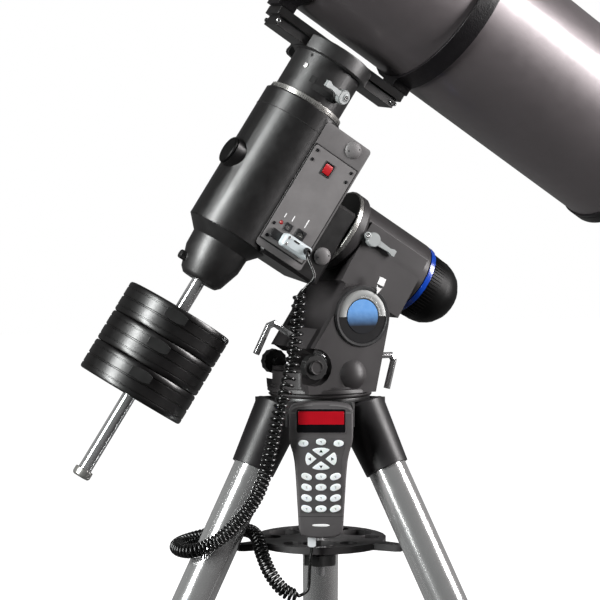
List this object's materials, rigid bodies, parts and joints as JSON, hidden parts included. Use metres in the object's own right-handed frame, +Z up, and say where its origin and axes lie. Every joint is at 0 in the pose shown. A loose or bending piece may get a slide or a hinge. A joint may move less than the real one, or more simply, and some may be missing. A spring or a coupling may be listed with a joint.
{
  "type": "telescope on tripod",
  "caption": "Reflector telescope on an equatorial mount with counterweights, a tripod with a tray, and a coiled-cord hand controller hanging in its holder.",
  "frame": {"origin": "centre of the bounding box, at the floor under the three feet", "axes": "+Z up; +X towards the low, south end of the polar axis; +Y away from the side with the control panel"},
  "size_m": [1.0384, 0.8844, 1.7968],
  "materials": {
    "black_paint": "satin black paint",
    "hammered_black": "textured black paint",
    "weight_iron": "textured black paint",
    "tube_paint": "gloss dark gunmetal paint",
    "chrome": "polished chrome",
    "silver": "satin",
    "blue_ring": "gloss blue",
    "black_plastic": "satin",
    "dark_plastic": "fine texture",
    "red_switch": "gloss red",
    "key_rubber": "matt",
    "cord_black": "satin",
    "clear_plug": "pale plastic"
  },
  "bodies": {
    "stand": {"tripod_head": "black_paint", "center_rod": "chrome", "controller_holder": "black_paint", "cord_lead_top": "cord_black", "cord_coil": "cord_black", "cord_lead_low": "cord_black"},
    "leg_a": {"leg_socket_a": "black_paint", "leg_tube_a": "chrome"},
    "lower_leg_a_body": {"lower_leg_a": "silver"},
    "leg_lock_a_body": {"leg_lock_knob_a": "black_plastic"},
    "leg_b": {"leg_socket_b": "black_paint", "leg_tube_b": "chrome"},
    "lower_leg_b_body": {"lower_leg_b": "silver"},
    "leg_lock_b_body": {"leg_lock_knob_b": "black_plastic"},
    "leg_c": {"leg_socket_c": "black_paint", "leg_tube_c": "chrome"},
    "lower_leg_c_body": {"lower_leg_c": "silver"},
    "leg_lock_c_body": {"leg_lock_knob_c": "black_plastic"},
    "tray_body": {"tray": "dark_plastic"},
    "tray_knob_body": {"tray_knob": "black_plastic"},
    "mount": {"mount_base": "black_paint"},
    "azimuth_knob_a_body": {"azimuth_knob_a": "black_plastic"},
    "azimuth_knob_b_body": {"azimuth_knob_b": "black_plastic"},
    "ra_housing": {"ra_body": "black_paint", "ra_circle": "silver", "polar_ring": "blue_ring"},
    "latitude_bolt_n_body": {"latitude_bolt_n": "chrome"},
    "latitude_bolt_s_body": {"latitude_bolt_s": "chrome"},
    "ra_lever_body": {"ra_lever": "silver"},
    "polar_cap_body": {"polar_cap": "black_plastic"},
    "dec_head": {"dec_housing": "black_paint", "control_panel": "dark_plastic", "shaft_nose": "black_paint", "dec_circle": "silver", "cord_plug": "black_plastic"},
    "port_cap_body": {"port_cap": "black_plastic"},
    "power_switch_body": {"power_switch": "red_switch"},
    "shaft": {"counterweight_shaft": "chrome", "shaft_stop": "chrome"},
    "weight_a": {"counterweight_a": "weight_iron"},
    "weight_b": {"counterweight_b": "weight_iron"},
    "weight_c": {"counterweight_c": "weight_iron"},
    "weight_knob_a_body": {"weight_knob_a": "black_plastic"},
    "weight_knob_b_body": {"weight_knob_b": "black_plastic"},
    "weight_knob_c_body": {"weight_knob_c": "black_plastic"},
    "tube_assembly": {"saddle": "black_paint", "dovetail_plate": "silver", "optical_tube": "tube_paint", "tube_ring_front": "hammered_black", "tube_ring_rear": "hammered_black", "mirror_cell": "hammered_black", "secondary_holder": "black_plastic", "focuser_body": "black_plastic"},
    "dec_lever_body": {"dec_lever": "silver"},
    "saddle_knob_body": {"saddle_knob": "black_plastic"},
    "drawtube": {"focuser_drawtube": "chrome"},
    "focus_knob_body": {"focus_knob": "black_plastic"},
    "controller": {"hand_controller": "dark_plastic", "hand_plug": "clear_plug"},
    "keypad_body": {"keypad": "key_rubber"}
  },
  "joints": [
    {"name": "leg_fold_a", "type": "hinge", "parent": "stand", "child": "leg_a", "pos_m": [-0.07867, -0.01538, 0.82464], "axis": [0.0504, -0.9987, 0], "range_deg": [0, 12]},
    {"name": "leg_slide_a", "type": "slide", "parent": "leg_a", "child": "lower_leg_a_body", "axis": [-0.4646, -0.0235, -0.8852], "range_m": [0, 0.3]},
    {"name": "leg_lock_a", "type": "hinge", "parent": "leg_a", "child": "leg_lock_a_body", "pos_m": [-0.40233, -0.03172, 0.29669], "axis": [-0.8841, -0.0446, 0.4651], "range_deg": [-90, 90]},
    {"name": "leg_fold_b", "type": "hinge", "parent": "stand", "child": "leg_b", "pos_m": [0.02324, -0.06756, 0.82464], "axis": [0.8397, 0.543, 0], "range_deg": [0, 12]},
    {"name": "leg_slide_b", "type": "slide", "parent": "leg_b", "child": "lower_leg_b_body", "axis": [0.2526, -0.3906, -0.8852], "range_m": [0, 0.3]},
    {"name": "leg_lock_b", "type": "hinge", "parent": "leg_b", "child": "leg_lock_b_body", "pos_m": [0.19921, -0.33968, 0.29669], "axis": [0.4807, -0.7433, 0.4651], "range_deg": [-90, 90]},
    {"name": "leg_fold_c", "type": "hinge", "parent": "stand", "child": "leg_c", "pos_m": [0.01746, 0.04679, 0.82464], "axis": [-0.8901, 0.4557, 0], "range_deg": [0, 12]},
    {"name": "leg_slide_c", "type": "slide", "parent": "leg_c", "child": "lower_leg_c_body", "axis": [0.212, 0.414, -0.8852], "range_m": [0, 0.3]},
    {"name": "leg_lock_c", "type": "hinge", "parent": "leg_c", "child": "leg_lock_c_body", "pos_m": [0.16514, 0.33525, 0.29669], "axis": [0.4034, 0.788, 0.4652], "range_deg": [-90, 90]},
    {"name": "tray_drop", "type": "slide", "parent": "stand", "child": "tray_body", "axis": [0, 0, -1], "range_m": [0, 0.1501]},
    {"name": "tray_knob_turn", "type": "hinge", "parent": "tray_body", "child": "tray_knob_body", "pos_m": [-0.01266, -0.01205, 0.65134], "axis": [0, 0, 1], "continuous": true},
    {"name": "azimuth_turn", "type": "hinge", "parent": "stand", "child": "mount", "pos_m": [-0.01266, -0.01205, 0.85864], "axis": [0, 0, 1], "range_deg": [-10, 10], "deforming": ["cord_lead_top", "cord_coil", "cord_lead_low"]},
    {"name": "azimuth_knob_a_turn", "type": "hinge", "parent": "mount", "child": "azimuth_knob_a_body", "pos_m": [-0.05216, -0.05715, 0.89144], "axis": [0, -1, 0], "continuous": true},
    {"name": "azimuth_knob_b_turn", "type": "hinge", "parent": "mount", "child": "azimuth_knob_b_body", "pos_m": [-0.05216, 0.03305, 0.89144], "axis": [0, 1, 0], "continuous": true},
    {"name": "latitude_tilt", "type": "hinge", "parent": "mount", "child": "ra_housing", "pos_m": [0.01684, -0.01205, 0.95564], "axis": [0, 1, 0], "range_deg": [-5, 5], "deforming": ["cord_lead_top", "cord_coil", "cord_lead_low"]},
    {"name": "latitude_bolt_n_push", "type": "slide", "parent": "mount", "child": "latitude_bolt_n_body", "axis": [0.84, 0, -0.5426], "range_m": [-0.0055, 0.0055]},
    {"name": "latitude_bolt_s_push", "type": "slide", "parent": "mount", "child": "latitude_bolt_s_body", "axis": [-1, 0, 0], "range_m": [-0.0052, 0.0052]},
    {"name": "ra_clutch", "type": "hinge", "parent": "ra_housing", "child": "ra_lever_body", "pos_m": [0.03698, -0.06235, 1.05519], "axis": [0, -1, 0], "range_deg": [-40, 0]},
    {"name": "polar_cap_pull", "type": "slide", "parent": "ra_housing", "child": "polar_cap_body", "axis": [0.8563, 0, -0.5165], "range_m": [0, 0.03]},
    {"name": "ra_turn", "type": "hinge", "parent": "ra_housing", "child": "dec_head", "pos_m": [-0.09926, -0.01205, 1.13504], "axis": [-0.8563, 0, 0.5165], "range_deg": [-83.2, 96.8], "deforming": ["cord_lead_top", "cord_coil", "cord_lead_low"]},
    {"name": "port_cap_pull", "type": "slide", "parent": "dec_head", "child": "port_cap_body", "axis": [-0.8563, 0, 0.5165], "range_m": [0, 0.03]},
    {"name": "power_rocker", "type": "hinge", "parent": "dec_head", "child": "power_switch_body", "pos_m": [-0.03261, -0.06983, 1.14583], "axis": [0.8563, 0, -0.5165], "range_deg": [-5, 5]},
    {"name": "shaft_slide", "type": "slide", "parent": "dec_head", "child": "shaft", "axis": [0.5129, -0.1184, 0.8502], "range_m": [0, 0.02]},
    {"name": "weight_slide_a", "type": "slide", "parent": "shaft", "child": "weight_a", "axis": [-0.5129, 0.1184, -0.8502], "range_m": [-0.02, 0.04]},
    {"name": "weight_slide_b", "type": "slide", "parent": "weight_a", "child": "weight_b", "axis": [-0.5129, 0.1184, -0.8502], "range_m": [0, 0.03]},
    {"name": "weight_slide_c", "type": "slide", "parent": "weight_b", "child": "weight_c", "axis": [-0.5129, 0.1184, -0.8502], "range_m": [0, 0.03]},
    {"name": "weight_knob_turn_a", "type": "hinge", "parent": "weight_a", "child": "weight_knob_a_body", "pos_m": [-0.23624, -0.05514, 0.96039], "axis": [-0.3703, -0.9241, 0.0947], "range_deg": [-90, 90]},
    {"name": "weight_knob_turn_b", "type": "hinge", "parent": "weight_b", "child": "weight_knob_b_body", "pos_m": [-0.25799, -0.05012, 0.92434], "axis": [-0.3703, -0.9241, 0.0947], "range_deg": [-90, 90]},
    {"name": "weight_knob_turn_c", "type": "hinge", "parent": "weight_c", "child": "weight_knob_c_body", "pos_m": [-0.27974, -0.04509, 0.88829], "axis": [-0.3703, -0.9241, 0.0947], "range_deg": [-90, 90]},
    {"name": "dec_turn", "type": "hinge", "parent": "dec_head", "child": "tube_assembly", "pos_m": [-0.09926, -0.01205, 1.13504], "axis": [0.5129, -0.1184, 0.8502], "continuous": true},
    {"name": "dec_clutch", "type": "hinge", "parent": "tube_assembly", "child": "dec_lever_body", "pos_m": [-0.01582, -0.07569, 1.23992], "axis": [0.2354, -0.9331, -0.2719], "range_deg": [-40, 0]},
    {"name": "saddle_knob_turn", "type": "hinge", "parent": "tube_assembly", "child": "saddle_knob_body", "pos_m": [-0.02499, 0.01561, 1.30462], "axis": [0.0612, 0.993, 0.1014], "continuous": true},
    {"name": "focus_slide", "type": "slide", "parent": "tube_assembly", "child": "drawtube", "axis": [0.5129, -0.1184, 0.8502], "range_m": [0, 0.04]},
    {"name": "focus_knob_turn", "type": "hinge", "parent": "tube_assembly", "child": "focus_knob_body", "pos_m": [-0.17987, -0.11694, 1.71773], "axis": [0.8563, 0, -0.5165], "range_deg": [0, 382.5]},
    {"name": "controller_lift", "type": "slide", "parent": "stand", "child": "controller", "axis": [0, 0, 1], "range_m": [0, 0.03], "deforming": ["cord_lead_top", "cord_coil", "cord_lead_low"]},
    {"name": "keypad_press", "type": "slide", "parent": "controller", "child": "keypad_body", "axis": [0.4431, 0.8965, 0], "range_m": [0, 0.0008], "stiffness_N_per_m": 1500}
  ],
  "couplings": [
    {"joint": "leg_fold_b", "follows": "leg_fold_a", "ratio": 1},
    {"joint": "leg_fold_c", "follows": "leg_fold_a", "ratio": 1},
    {"joint": "tray_drop", "follows": "leg_fold_a", "m_per_rad": 0.7162},
    {"joint": "latitude_bolt_n_push", "follows": "latitude_tilt", "m_per_rad": -0.0606},
    {"joint": "latitude_bolt_s_push", "follows": "latitude_tilt", "m_per_rad": 0.057},
    {"joint": "focus_knob_turn", "follows": "focus_slide", "rad_per_m": 166.67}
  ]
}
